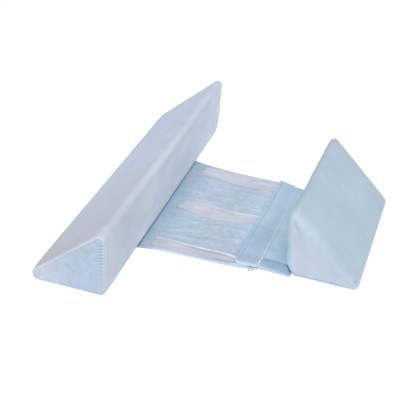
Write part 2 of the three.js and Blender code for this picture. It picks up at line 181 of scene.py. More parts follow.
# Fine wrinkles between the creases: how many, with ranges of length, half width and height.
WRINKLES = Values(count=300, length=(4, 14), half=(0.6, 1.3), height=(0.1, 0.34), turn=0.8, bend=1.6)
RUMPLE = Values(size=5, stretch=1.3, height=0.13)
# A tape's shade value is painted light and shade: below 1 darker, above 1 lighter.
TAPES = [
    Values(name="near", start=(14.2, 16.6), shade=0.92),
    Values(name="middle", start=(17.4, 25), shade=1),
    Values(name="far", start=(22, 23.4), shade=1.04),
]
TAPE_WIDTH = 25
TAPE_START = 15
TAPE_END = 150.7
TAPE_STEP = 0.8

FLAP_LEFT = Values(near=126.4, far=136.6)
FLAP_SEAM = -4
FLAP_NEAR = Values(
    x=[126.4, 129.5, 134, 145, 163, 174, 188, 194, 197.4],
    y=[108, 105.6, 104.2, 104.6, 105.3, 105.4, 105, 104.4, 104.6])
FLAP_FAR = Values(x=[136.6, 148, 154.5, 167, 173, 190, 205], y=[298.6, 296, 292, 288, 287, 283.4, 280])
FLAP_WIDTH = 71
FLAP_STEP = 0.8
FLAP_ROWS = 181
FLAP_HEM = Values(width=4.6, extra=1, groove=5.8, half=1.1, stitch=30.9, sunk=0.55)
FLAP_OVER = Values(height=4.4, low=0.3, span=(156, 190))
FLAP_ROLL = Values(height=7, deep=18.4, span=(146, 176))
FLAP_ROLL_END = Values(deep=11, span=(190, 200))
FLAP_REST = Values(height=1.6, reach=29)
FLAP_WAVE = Values(height=0.7, along=57, across=41)
# The flap's left edge bows out at a place, its far corner is round, and its near edge lies down
# on the panel, a little clear of the tapes.
FLAP_BOW = Values(out=0.8, y=235, half=30)
FLAP_CORNER = Values(cut=2.4, reach=5)
FLAP_DROOP = Values(reach=6, clear=0.3, span=(152, 161))
FLAP_CREASES = [
    ((160, 142), (189, 151), 0, 4.5, -0.8),
    ((134, 124), (153, 118), 0, 4, -0.5),
    ((141, 214), (150, 262), 1, 5, 0.3),
]
FLAP_VALLEYS = [
    ((156, 121), (191, 123.4), 0.4, 1.5, -0.6),
    ((190, 123.4), (199.4, 105.5), 1.2, 0.8, -0.8),
]
EDGE_ROUND = 1.1

# A stitch, as shares of its thread's radius: how high it arches, how deep it starts, and how thin.
THREAD = Values(sides=6, steps=5, rise=1.7, sunk=0.75, thin=0.55)
# Stitches that close the long bolster's near end, and the knotted ends of the flap's seam thread:
# where each turn starts and ends, as y and how far it lies across the seam.
CLOSING = Values(inset=3.4, count=7, low=49, pitch=4.4)
KNOT = [
    ((108.6, -1.3), (112.2, 1.2)), ((112.6, -1.2), (115.4, 0.9)), ((109.8, 0.9), (113.8, 0.2)),
    ((115.6, 0.2), (120.4, 1.7)), ((116, 1.5), (119.6, -0.4)), ((276.4, -0.9), (279.2, 0.8)),
]
KNOT_END = [((110.4, 0.5), (113.2, -1.4))]

# Camera, its place in layout mm, and light, in metres from the middle of the pillow.
CAMERA = Values(place=(309.4, -518.2, 560.1), azimuth=19.14, elevation=36.10, focal_px=690)
IMAGE_PX = 416
SENSOR = 36
SKY = 0.34
LIGHTS = {
    "top_light": Values(place=(0.1, -0.5, 1.7), size=1.8, power=28),
    "right_light": Values(place=(1.0, -1.5, 0.8), size=1.4, power=8),
    "far_light": Values(place=(1.3, 0.9, 1.1), size=1.4, power=1.5),
}
FLOOR = Values(half=4.0, colour=(0.93, 0.93, 0.935), glow=0.31)
# How much lighter the room makes a cloth than its own colour.
ROOM_GAIN = 1.035

# Cloth colours as seen, from 0 to 255.
SEEN = dict(
    long_slope_near=(187, 193, 207), long_slope_far=(195, 208, 228), long_slope_welt=(187, 188, 201),
    # The edge colour is a painted highlight along the long bolster's near upright edge.
    # The long bolster's ridge colours are a painted highlight along its ridge.
    long_ridge_near=(185, 193, 205), long_ridge=(197, 205, 218), edge=(185, 193, 208),
    # The long bolster's inner side colours are painted light and shade: darker at the near end, lighter in
    # the middle and at the foot.
    long_inner_near=(182, 190, 204), long_inner_mid_painted_light=(213, 223, 234), long_inner_far=(198, 209, 225),
    long_inner_foot_painted_light=(235, 243, 251), long_face=(175, 192, 211), long_face_left=(192, 205, 220),
    long_tip=(190, 188, 203), welt=(204, 204, 217), welt_top=(210, 213, 226),
    # The short bolster's crease colour is painted shade over its round.
    short_slope=(174, 192, 207), short_face=(182, 195, 210), short_crease_painted_shade=(168, 184, 200),
    # The short bolster's tip colour is a painted highlight on top of its near end.
    short_strip=(182, 206, 228), short_top_painted_highlight=(185, 203, 216), short_seam=(206, 204, 220),
    short_foot=(118, 150, 186), panel=(183, 196, 210), panel_blue=(172, 190, 212),
    # The panel's shade and crevice colours are painted shade beside the long bolster.
    panel_painted_shade=(172, 193, 210), crevice_painted_shade=(124, 150, 178), hem=(198, 213, 229),
    # The flap's right colour is painted light where the short bolster shades it.
    flap=(168, 190, 212), flap_left=(183, 203, 221), flap_right_painted_light=(188, 214, 234),
    # The flap's roll colour is painted shade, on the roll and in the short bolster's dent.
    # The flap's valley colour is painted shade behind the roll.
    deep_painted_shade=(146, 170, 192), flap_rim=(204, 218, 234), valley_painted_shade=(126, 155, 186),
    # The flap's seam colour is painted light, beside the seam and under the flap's near rim.
    # The tape's rim colour is a painted highlight on its raised far rim.
    pale_painted_light=(240, 252, 255), tape=(198, 200, 213), rim_painted_highlight=(240, 240, 248),
    # The tape's fold colour is painted shade in its folds.
    tape_edge=(205, 200, 212), tape_fold_painted_shade=(166, 168, 182), thread=(226, 232, 238),
    closing_thread=(226, 232, 242), knot=(190, 168, 150),
)


def linear(rgb):
    """Linear colour of a cloth that is seen as this colour in the room."""
    share = np.array(rgb, float) / 255
    return np.where(share <= 0.04045, share / 12.92, ((share + 0.055) / 1.055) ** 2.4) / ROOM_GAIN


DYE = {name: linear(rgb) for name, rgb in SEEN.items()}
ORIGIN = np.array([
    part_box("base_panel")[0][0] / MM - PANEL_X[0],
    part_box("long_bolster")[0][1] / MM - LONG.place[1],
    0,
])


# Small helpers for numbers and dyes.

def smooth(x, start, end):
    t = np.clip((x - start) / (end - start), 0, 1)
    return t * t * (3 - 2 * t)


def fade(x, start, end):
    return 1 - smooth(x, start, end)


def bell(x, middle, half):
    return np.exp(-((x - middle) / half) ** 2)


def mix(a, b, share):
    return a + (b - a) * share


def dyed(colour, *coats):
    """A colour under coats, each a colour and its share. Colours are arrays or names of dyes."""
    colour = DYE[colour] if isinstance(colour, str) else colour
    for coat, share in coats:
        coat = DYE[coat] if isinstance(coat, str) else coat
        colour = mix(colour, coat, np.asarray(share)[..., None])
    return colour


def toned(dye, share):
    """A dye made lighter by a share, or darker by one below zero."""
    return dye * (1 + share)[..., None]


def unit(v):
    return v / np.linalg.norm(v)


def along(xs, ys, x):
    """Smooth curve through a short table."""
    xs, ys, x = (np.asarray(v, float) for v in (xs, ys, x))
    i = np.clip(np.searchsorted(xs, x, side="left") - 1, 0, len(xs) - 2)
    low, high = np.maximum(np.arange(len(xs)) - 1, 0), np.minimum(np.arange(len(xs)) + 1, len(xs) - 1)
    slope = (ys[high] - ys[low]) / (xs[high] - xs[low])
    width = xs[i + 1] - xs[i]
    t = np.clip((x - xs[i]) / width, 0, 1)
    t2, t3 = t * t, t * t * t
    start = (2 * t3 - 3 * t2 + 1) * ys[i] + (t3 - 2 * t2 + t) * width * slope[i]
    return start + (3 * t2 - 2 * t3) * ys[i + 1] + (t3 - t2) * width * slope[i + 1]


def panel_line(name, x):
    return along(PANEL_X, PANEL_LINES[name], x)


def flat(x, y):
    """Points on the floor."""
    return np.stack([x, y, np.zeros_like(x)], axis=-1)


def field(points, size, seed, stretch=(1, 1, 1), waves=26):
    """Soft unevenness of about -1 to 1, its lumps of a size in mm, the same on each run."""
    rng = np.random.default_rng(seed)
    turn = rng.normal(size=(waves, 3))
    turn *= math.tau / size * rng.uniform(0.6, 1.5, (waves, 1)) / np.linalg.norm(turn, axis=1)[:, None]
    phase = rng.uniform(0, math.tau, waves)
    spots = (np.asarray(points) / np.array(stretch)).reshape(-1, 3)
    lumps = np.cos(spots @ turn.T + phase).sum(axis=1) / math.sqrt(waves / 2)
    return lumps.reshape(np.asarray(points).shape[:-1])


# Materials.

def new_node(tree, kind, inputs=None, **settings):
    node = tree.nodes.new(kind)
    for key, value in settings.items():
        setattr(node, key, value)
    for key, value in (inputs or {}).items():
        node.inputs[key].default_value = value
    return node


def new_material(name, values):
    """A material with values set on its shader, with its tree and that shader."""
    material = bpy.data.materials.new(name)
    material.use_nodes = True
    shader = material.node_tree.nodes["Principled BSDF"]
    for key, value in values.items():
        shader.inputs[key].default_value = value
    return material, material.node_tree, shader


def spread(tree, texture, to, middle=(0.3, 0.7)):
    """A texture's value, its middle part spread out to another range."""
    ends = zip(("From Min", "From Max", "To Min", "To Max"), (*middle, *to))
    node = new_node(tree, "ShaderNodeMapRange", dict(ends))
    tree.links.new(texture.outputs["Fac"], node.inputs["Value"])
    return node.outputs["Result"]


def bump(tree, shader, texture, strength, distance):
    relief = new_node(tree, "ShaderNodeBump", {"Strength": strength, "Distance": distance})
    tree.links.new(texture.outputs["Fac"], relief.inputs["Height"])
    tree.links.new(relief.outputs["Normal"], shader.inputs["Normal"])


def plush(name, pile, broad, strength, roughness=(0.86, 0.97), sheen=0.3, stretch=(1, 1, 1)):
    """Short pile: dyed by the piece, mottled by the way the pile lies, with fine tufts as bump."""
    material, tree, shader = new_material(name, {
        "Specular IOR Level": 0.15, "Sheen Weight": sheen, "Sheen Roughness": 0.45,
        "Sheen Tint": (0.86, 0.92, 1, 1)})
    link = tree.links.new
    place = new_node(tree, "ShaderNodeTexCoord")
    lay = new_node(tree, "ShaderNodeMapping", {"Scale": stretch})
    link(place.outputs["Object"], lay.inputs["Vector"])
    colour = new_node(tree, "ShaderNodeAttribute", attribute_name="dye").outputs["Color"]
    mottle, nap, tuft = (
        new_node(tree, "ShaderNodeTexNoise", {"Scale": scale, "Detail": detail, "Roughness": rough})
        for scale, detail, rough in ((broad, 4, 0.6), (broad * 5, 3, 0.6), (pile, 3, 0.65)))
    for texture, light in ((mottle, (0.955, 1.045)), (nap, (0.97, 1.03)), (tuft, (0.93, 1.04))):
        link(lay.outputs["Vector"], texture.inputs["Vector"])
        lit = new_node(tree, "ShaderNodeVectorMath", operation="SCALE")
        link(colour, lit.inputs[0])
        link(spread(tree, texture, light), lit.inputs["Scale"])
        colour = lit.outputs["Vector"]
    link(colour, shader.inputs["Base Color"])
    link(spread(tree, nap, roughness, (0, 1)), shader.inputs["Roughness"])
    bump(tree, shader, tuft, strength, 0.0006)
    return material


def thread_material(name, colour):
    """Twisted sewing thread: pale, a little glossy, with fine turns along it."""
    material, tree, shader = new_material(name, {"Roughness": 0.55, "Sheen Weight": 0.2})
    place = new_node(tree, "ShaderNodeTexCoord")
    turns = new_node(tree, "ShaderNodeTexWave", {"Scale": 420, "Distortion": 1.5})
    tree.links.new(place.outputs["Object"], turns.inputs["Vector"])
    shade = new_node(tree, "ShaderNodeValToRGB")
    for stop, light in zip(shade.color_ramp.elements, (0.86, 1.06)):
        stop.color = (*(colour * light), 1)
    tree.links.new(turns.outputs["Fac"], shade.inputs["Fac"])
    tree.links.new(shade.outputs["Color"], shader.inputs["Base Color"])
    bump(tree, shader, turns, 0.4, 0.0002)
    return material


# Pieces.

def new_object(name, data):
    obj = bpy.data.objects.new(name, data)
    bpy.context.scene.collection.objects.link(obj)
    return obj


def piece(name, points, faces, dye, material, slot, *nodes):
    """A mesh piece from layout points, with its dye kept at each point, riding on the body."""
    mesh = bpy.data.meshes.new(name)
    placed = (points.reshape(-1, 3) + ORIGIN) * MM
    mesh.from_pydata(placed.tolist(), [], faces)
    mesh.polygons.foreach_set("use_smooth", np.ones(len(mesh.polygons), bool))
    if dye is not None:
        colours = np.ones((len(placed), 4))
        colours[:, :3] = dye
        layer = mesh.attributes.new("dye", "FLOAT_COLOR", "POINT")
        layer.data.foreach_set("color", colours.ravel())
    mesh.materials.append(material)
    obj = new_object(name, mesh)
    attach(obj, "root")
    if nodes:
        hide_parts(*nodes)
    return obj


def threads(name, stitches, radius, material, slot):
    """Sewn stitches, each a short bent thread that dips into the cloth at both ends."""
    points, faces = [], []
    sides, steps = THREAD.sides, THREAD.steps
    turn = math.tau * np.arange(sides) / sides
    for a, b, up in stitches:
        a, b, up = (np.asarray(v, float) for v in (a, b, up))
        way = unit(b - a)
        side = unit(np.cross(way, up))
        up = np.cross(side, way)
        first = len(points)
        for k in range(steps + 1):
            arch = math.sin(math.pi * k / steps)
            lift = radius * (THREAD.rise * arch - THREAD.sunk)
            thick = radius * mix(THREAD.thin, 1, arch)
            for c, s in zip(np.cos(turn), np.sin(turn)):
                points.append(mix(a, b, k / steps) + up * (lift + thick * s) + side * thick * c)
        for low in range(first, first + steps * sides, sides):
            for j in range(sides):
                m = (j + 1) % sides
                faces.append((low + j, low + m, low + sides + m, low + sides + j))
        faces.append(tuple(reversed(range(first, first + sides))))
        faces.append(tuple(range(first + steps * sides, first + (steps + 1) * sides)))
    piece(name, np.array(points), faces, None, material, slot)


def run_of(line):
    """Distance along a line, at each of its points."""
    return np.concatenate([[0], np.cumsum(np.linalg.norm(np.diff(line, axis=0), axis=1))])


def stitch_row(line, pitch, length):
    """Stitches of a length at a pitch along a line of points."""
    run = run_of(line)

    def place(distance):
        return np.array([np.interp(distance, run, line[:, k]) for k in range(3)])

    starts = np.arange(pitch / 2, run[-1] - length, pitch)
    return [(place(start), place(start + length), UP) for start in starts]


# Bolsters.

def blunted(normal, power):
    """Reach of an edge's round, its lower quarter pressed square where it rests."""
    if normal[0] <= 0 or normal[1] >= 0:
        return normal
    return np.array([normal[0] ** (2 / power), -(-normal[1]) ** (2 / power)])


def section(spec):
    """Outline of a bolster across its length: points, outward normals, crown, stuffing beat,
    and how far each point belongs to the base, the slope and the inner side."""
    corners = np.array([(0, 0), (spec.base, 0), (-spec.lean, spec.height)], float)
    sides = np.eye(3)
    arcs = []
    for i, radius in enumerate(spec.round):
        back, on = unit(corners[i - 1] - corners[i]), unit(corners[(i + 1) % 3] - corners[i])
        half = math.acos(back @ on) / 2
        centre = corners[i] + unit(back + on) * radius / math.sin(half)
        start = corners[i] + back * radius / math.tan(half) - centre
        arcs.append((centre, radius, math.atan2(start[1], start[0]), math.pi - 2 * half))
    rows = []
    beat = 0
    for i, (centre, radius, start, turn) in enumerate(arcs):
        for t in np.arange(CORNER_STEPS + 1) / CORNER_STEPS:
            normal = np.array([math.cos(start + turn * t), math.sin(start + turn * t)])
            reach = blunted(normal, spec.blunt) if i == 1 else normal
            rows.append((*(centre + reach * radius), *normal, 0, 0, beat, *mix(sides[i - 1], sides[i], t)))
        first = np.array(rows[-1][:2])
        middle, radius, angle, _ = arcs[(i + 1) % 3]
        last = middle + radius * np.array([math.cos(angle), math.sin(angle)])
        crown = spec.crown[i]
        for t in np.arange(1, SIDE_STEPS[i]) / SIDE_STEPS[i]:
            rise = crown * math.sin(math.pi * t)
            at_beat = beat + COARSE_CORNER + t * COARSE_STEPS[i]
            rows.append((*mix(first, last, t), *normal, rise, crown > 0, at_beat, *sides[i]))
        beat += COARSE_CORNER + COARSE_STEPS[i]
    table = np.array(rows, float)
    return Values(
        at=table[:, 0:2], normal=table[:, 2:4], crown=table[:, 4], stuffed=table[:, 5],
        beat=table[:, 6], base=table[:, 7], slope=table[:, 8], inner=table[:, 9])


def end_path(profile):
    """A bolster's end as fine rings from body to face: back, inset and share of the outline."""
    table = np.array(profile, float)
    last = len(table) - 1
    fine = np.linspace(0, last, last * END_STEPS + 1)
    paths = [np.pad(along(range(last + 1), way, fine), (0, FACE_STEPS), "edge") for way in table.T]
    inner = 1 - np.arange(1, FACE_STEPS + 1) / (FACE_STEPS + 1)
    return np.stack([*paths, np.concatenate([np.ones(len(fine)), inner])])


def points_of(mesh):
    found = np.empty(len(mesh.vertices) * 3)
    mesh.vertices.foreach_get("co", found)
    return found.reshape(-1, 3)


def firmness(spec, points):
    """How firmly each point of a bolster is held while it fills: its base, ends and long edges."""
    turn = math.radians(-spec.turn)
    x, y, z = (points - (*spec.place, 0)).T
    across = spec.side * (x * math.cos(turn) - y * math.sin(turn))
    distance = x * math.sin(turn) + y * math.cos(turn)
    end = np.minimum(distance, spec.length - distance)
    ridge = np.hypot(across + spec.lean - 5, z - spec.height + 10)
    outer = spec.base - 8 - across
    return np.max([fade(z, 1, 9), fade(end, 1, 8), fade(ridge, 6, 14), fade(outer, 0, 9)], axis=0)


def swell(node, spec):
    """Fills a copy of a bolster's solid under pressure and returns its points and their moves."""
    scene = bpy.context.scene
    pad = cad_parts[node].copy()
    pad.data = pad.data.copy()
    pad.parent = None
    scene.collection.objects.link(pad)
    even = pad.modifiers.new("even", "REMESH")
    even.mode = "VOXEL"
    even.voxel_size = FILLING.voxel
    graph = bpy.context.evaluated_depsgraph_get()
    remeshed = bpy.data.meshes.new_from_object(pad.evaluated_get(graph))
    pad.modifiers.clear()
    pad.data = remeshed
    rest = points_of(remeshed)
    held = pad.vertex_groups.new(name="held")
    for index, weight in enumerate(firmness(spec, rest / MM - ORIGIN)):
        held.add([index], float(weight), "REPLACE")
    cloth = pad.modifiers.new("fill", "CLOTH")
    cloth.settings.quality = FILLING.quality
    cloth.settings.mass = FILLING.mass
    cloth.settings.use_pressure = True
    cloth.settings.uniform_pressure_force = FILLING.pressure
    cloth.settings.effector_weights.gravity = 0
    cloth.settings.vertex_group_mass = "held"
    cloth.point_cache.frame_start, cloth.point_cache.frame_end = 1, FILLING.frames
    for step in range(1, FILLING.frames + 1):
        scene.frame_set(step)
    filled = pad.evaluated_get(bpy.context.evaluated_depsgraph_get())
    move = (points_of(filled.data) - rest) / MM
    scene.frame_set(1)
    bpy.data.objects.remove(pad)
    size = np.linalg.norm(move, axis=1, keepdims=True)
    return rest / MM - ORIGIN, move * FILLING.cap / (FILLING.cap + size)


def carried(points, rest, move):
    """Moves of points, as the average of those of the nearest points of the filled copy."""
    tree = KDTree(len(rest))
    for index, place in enumerate(rest):
        tree.insert(place, index)
    tree.balance()
    places = points.reshape(-1, 3)
    found = np.empty_like(places)
    for index, place in enumerate(places):
        close = tree.find_n(place, FILLING.near)
        weight = np.array([1 / (FILLING.blur + distance) for _, _, distance in close])
        found[index] = weight @ move[[k for _, k, _ in close]] / weight.sum()
    return found.reshape(points.shape)


def filled_out(node, spec, points, facts):
    """Points of a bolster moved by its filling, worked out at every few points of its grid."""
    step = FILLING.step
    moved = carried(points[::step, ::step], *swell(node, spec))
    moved = np.concatenate([moved, moved[:, :1]], axis=1)
    rings, around = points.shape[:2]
    rows = np.interp(np.arange(rings), np.arange(0, rings, step), np.arange(len(moved)))
    columns = np.interp(np.arange(around), [*range(0, around, step), around], np.arange(moved.shape[1]))
    low_r, low_c = rows.astype(int), columns.astype(int)
    high_r, high_c = np.minimum(low_r + 1, len(moved) - 1), np.minimum(low_c + 1, moved.shape[1] - 1)
    part_r, part_c = (rows - low_r)[:, None, None], (columns - low_c)[None, :, None]
    low, high = (mix(moved[r][:, low_c], moved[r][:, high_c], part_c) for r in (low_r, high_r))
    keep = np.where(facts.share < 1, FILLING.at_end, 1) * (1 - spec.steady * np.clip(facts.outer * 2, 0, 1))
    points = points + mix(low, high, part_r) * keep[..., None]
    points[..., 2] = np.maximum(points[..., 2], 0)
    return points


def bolster(spec, profiles, relief):
    """A bolster's fine grid of rings by outline points, in layout mm, and each point's facts: its
    place, its distance from the near end as y and from the far end, and which parts it is on."""
    out = section(spec)
    length = spec.length
    near, far = map(end_path, profiles)
    steps = round((length - near[0, 0] - far[0, 0]) / RING_STEP)
    body = np.linspace(near[0, 0], length - far[0, 0], steps + 1)[1:-1]
    ys, insets, shares = (np.concatenate(parts)[:, None] for parts in (
        (near[0, ::-1], body, length - far[0]), (near[1, ::-1], 0 * body, far[1]),
        (near[2, ::-1], 0 * body + 1, far[2])))
    drawn = smooth(ys, 0, spec.drawn[0]) * smooth(length - ys, 0, spec.drawn[1])
    sway = spec.sway
    lean = np.sin(math.tau * ys / sway.wave + sway.phase)
    wave = np.sin(ys / STUFFING.along * math.tau + out.beat * STUFFING.around)
    soft = (out.crown + STUFFING.depth * out.stuffed * wave) * drawn
    up_share = out.at[:, 1] / spec.height
    facts = dict(
        x=out.at[:, 0], y=ys, z=out.at[:, 1], far=length - ys, inset=insets, share=shares,
        run=run_of(out.at), slope=out.slope, inner=out.inner, base=out.base,
        outer=4 * out.slope * out.base, ridge=4 * out.slope * out.inner)
    facts = Values(**{name: fact + np.zeros_like(soft) for name, fact in facts.items()})
    facts.end = np.minimum(facts.y, facts.far)
    facts.at_near = facts.y < facts.far
    facts.outward = np.where(facts.at_near, -1, 1)
    lift, _ = relief(facts)
    reach = soft - insets * (1 - (1 - spec.lifted) * out.base) + lift
    leaning = sway.across * lean + spec.drift * ys / length
    across = out.at[:, 0] + out.normal[:, 0] * reach + leaning * up_share
    up = out.at[:, 1] + out.normal[:, 1] * reach + sway.up * lean * up_share * drawn
    across, up = (mix(v.mean(axis=1, keepdims=True), v, shares) for v in (across, up))
    facts.x, facts.z = across, up
    _, forward = relief(facts)
    skew = spec.skew
    turned = skew.near * fade(ys, 0, skew.reach) + skew.far * smooth(ys, length - skew.reach, length)
    x, y = spec.side * across, ys + forward + turned * across / spec.base
    turn = math.radians(spec.turn)
    points = [spec.place[0] + x * math.cos(turn) - y * math.sin(turn),
              spec.place[1] + x * math.sin(turn) + y * math.cos(turn), np.maximum(up, 0)]
    return np.stack(points, axis=-1), facts


def bolster_faces(rings, around, side):
    """Faces of a bolster's grid, closed round the outline, with a fan at each end's middle."""
    near, far, last = rings * around, rings * around + 1, (rings - 1) * around
    faces = []
    for low in range(0, last, around):
        for k in range(around):
            m = (k + 1) % around
            faces.append((low + k, low + around + k, low + around + m, low + m))
    for k in range(around):
        m = (k + 1) % around
        faces += [(near, k, m), (far, last + m, last + k)]
    return faces if side > 0 else [face[::-1] for face in faces]


def finish_bolster(node, spec, profiles, relief, colour, material):
    """A bolster's padded piece. Returns its grid and facts."""
    points, facts = bolster(spec, profiles, relief)
    points = filled_out(node, spec, points, facts)
    dye = colour(points, facts)
    places, dyes = (
        np.concatenate([grid.reshape(-1, 3), grid[[0, -1]].mean(axis=1)]) for grid in (points, dye))
    faces = bolster_faces(*points.shape[:2], spec.side)
    obj = piece(node + "_pad", places, faces, dyes, material, node + "_plush", node)
    return points, facts


def face_crinkles(f):
    """Fine diagonal crinkles of an end panel, fading at its seam."""
    turned = np.stack([(f.x + f.z) / math.sqrt(2), f.y, (f.x - f.z) / math.sqrt(2)], axis=-1)
    rough = sum(c.depth * field(turned, c.size, c.seed, c.stretch) for c in END_CRINKLES)
    return rough * smooth(1 - f.share, 0, 0.12)


def welt_teeth(f):
    """Small scallops that the tight end seam draws into the welt."""
    return np.abs(np.sin(math.pi * f.run / WELT.pitch)) ** 0.6


def inner_folds(f, values):
    """Soft folds across the long bolster's inner side near its end, each given a value."""
    return sum(value * bell(f.y, near, half) for value, (near, half) in zip(values, INNER_FOLDS.places))


def long_relief(f):
    """How far the long bolster's cloth stands out from its outline, and how far along it moves."""
    place = np.stack([f.x, f.y, f.z], axis=-1)
    even = 0.12 * field(place, 34, 1) + 0.03 * field(place, 10, 2)
    on_side = f.inner * smooth(f.z, 3, 16) * fade(f.z, 78, 92)
    rim = f.share >= 1
    on_top = np.clip(f.slope + f.ridge, 0, 1) * np.where(f.at_near, 1, 0.3)
    crest = WELT.crest * bell(f.end, WELT.back, WELT.half) * rim * on_top
    crest = crest * (1 + WELT.teeth * (welt_teeth(f) - 0.6))
    edge = OUTER_EDGE
    out = edge.out * smooth(f.end, 3, 16) * (1 - 0.7 * smooth(f.y, *edge.span))
    out = out - edge.corner * fade(f.end, 0, edge.reach)
    lift = even * smooth(f.end, 3, 14) * (1 - f.base)
    lift = lift + inner_folds(f, INNER_FOLDS.heights) * on_side + crest + f.outer * out
    far_edge = FAR_EDGE.out * bell(f.z, 34, 15) - FAR_EDGE.cut * fade(f.z, 4, 16)
    lift = lift + f.inner * fade(f.far, 2, 14) * far_edge
    bulge = 1.1 * smooth(1 - f.share, 0, 0.8)
    fold = LIP_FOLD.depth * bell(f.inset, LIP_FOLD.inset, LIP_FOLD.half) * rim * on_top
    return lift, f.outward * ((bulge + face_crinkles(f)) * (f.share < 1) - fold)


def front_seam(f):
    """How far a point is past the short bolster's front seam, from 0 to 1, and how near it is."""
    seam = FRONT_SEAM.x - FRONT_SEAM.lean * f.z
    under_top = fade(f.z, FRONT_SEAM.top, FRONT_SEAM.top + 10)
    beyond = np.clip((seam - f.x) / 9, 0, 1) * under_top
    return beyond, bell(f.x - seam, 0.8, FRONT_SEAM.half) * under_top


def dent(f, half):
    return bell(np.hypot(f.x - DENT.x, f.z - DENT.z), 0, half)


def short_relief(f):
    """How far the short bolster's cloth stands out from its outline, and how far along it moves."""
    place = np.stack([f.x, f.y, f.z], axis=-1)
    even = 0.13 * field(place, 34, 11) + 0.03 * field(place, 9, 12)
    low_side = f.inner * bell(f.z, FOOT_BULGE.z, FOOT_BULGE.half)
    high_side = np.clip(f.inner + f.ridge, 0, 1) * smooth(f.z, RIDGE_BULGE.low, RIDGE_BULGE.high)
    lift = even * smooth(f.end, 2, 12) * (1 - f.base) + FOOT_BULGE.out * low_side * fade(f.y, 12, 44)
    lift = lift + RIDGE_BULGE.out * high_side * fade(f.y, 10, 62)
    bulge = 1.2 * smooth(1 - f.share, 0, 0.8) + 0.3 * face_crinkles(f)
    beyond, line = front_seam(f)
    drawn_in = 1.2 * fade(f.z, 1, 16) * fade(f.x, 46, 78)
    square = 0.9 * smooth(f.x, 74, 90) * fade(f.z, 4, 20)
    shaped = drawn_in - square + FRONT_SEAM.back * beyond ** 2 - FRONT_SEAM.ridge * line
    shaped = shaped + DENT.depth * dent(f, DENT.half)
    return lift, f.outward * bulge * (f.share < 1) + shaped * fade(f.y, 1, 14) * f.at_near


def long_colour(points, f):
    by_panel = smooth(f.y, 86, 112) * fade(f.y, 290, 320)
    on_ridge = smooth(f.ridge, 0, 0.8)
    corner = np.clip(f.ridge, 0, 1)
    slope = dyed("long_slope_near", ("long_slope_far", smooth(f.y, 20, 250)))
    # The inner side's colours are painted light and shade: darker at the near end, where the lamps reach it,
    # and lighter in the middle and at the foot beside the panel, which the short bolster and the panel shade.
    inner = dyed(
        "long_inner_near", ("long_inner_mid_painted_light", smooth(f.y, 62, 150)),
        ("long_inner_far", smooth(f.y, 240, 345)), ("long_inner_foot_painted_light", by_panel * fade(f.z, 4, 44)))
    # A painted highlight band along the ridge: its round and the top of the inner side take the ridge
    # colours.
    ridge = dyed("long_ridge_near", ("long_ridge", smooth(f.y, 16, 150)))
    ridge_highlight = 0.5 * on_ridge + 0.45 * f.inner * smooth(f.z, 62, 86)
    dye = dyed(slope, (inner, f.inner), (ridge, ridge_highlight))
    # Painted shade on the slope side of the ridge's round.
    dye = toned(dye, -0.03 * on_ridge * f.slope)
    # Painted light at the inner side's foot beside the panel, which shades it.
    dye = toned(dye, 0.14 * by_panel * f.inner * fade(f.z, 3, 9))
    # A painted highlight on the ridge by the near end, with a little random tone.
    dye = toned(dye, 0.05 * on_ridge * fade(f.y, 4, 20) + 0.012 * field(points, 40, 21))
    far_tip = fade(f.far, 8, 60) * (1 - f.base) * smooth(f.z, 30, 80)
    by_welt = f.slope * fade(f.y, 6, 46) * fade(f.z, 46, 90)
    dye = dyed(dye, ("welt_top", 0.55 * far_tip), ("long_slope_welt", by_welt))
    # Painted highlights and shade along the folds of the inner side.
    dye = toned(dye, inner_folds(f, INNER_FOLDS.tones) * f.inner * smooth(f.z, 3, 16))
    # A painted highlight down the inner side, just behind its near upright edge.
    dye = toned(dye, 0.09 * bell(f.y, 3.4, 1.9) * smooth(f.z, 26, 56) * f.inner)
    face = dyed("long_face", ("long_face_left", smooth(f.x, 24, 84)))
    # Random tone of the end panel, with painted light and shade on its crinkles, lighter where they stand
    # out.
    face = toned(face, 0.022 * field(points, 9, 22) + 0.1 * face_crinkles(f))
    rim = (f.share >= 1) * smooth(f.z, 0, 8) * np.where(f.at_near, 1, 0.5)
    reach = 0.9 + 1.3 * welt_teeth(f) * (1 - corner) + 0.9 * smooth(f.x, 48, 84)
    welt = rim * np.clip(f.slope + 1.2 * f.ridge, 0, 1) * smooth(3.4 - f.end, 0, 2)
    welt = welt * fade(f.inset, reach, reach + 1)
    tip = smooth(f.outer, 0.05, 0.6) * fade(f.y, 5, 12) * fade(f.inset, 2, 7)
    # A painted highlight along the round of the near upright edge.
    upright = rim * f.inner * bell(f.end, 0.8, 1.2) * (f.inset < 2.4)
    return dyed(
        dye, (face, smooth(f.inset, 1.9 - 1.3 * corner, 3.2 - 1.6 * corner)),
        ("welt", (0.95 - 0.4 * corner) * welt), ("welt_top", 0.5 * welt * smooth(f.ridge, 0.2, 0.8)),
        ("long_tip", 0.5 * (f.y < 8) * fade(f.z, 0.6, 2.2)), ("long_tip", 0.8 * tip), ("edge", 0.8 * upright))


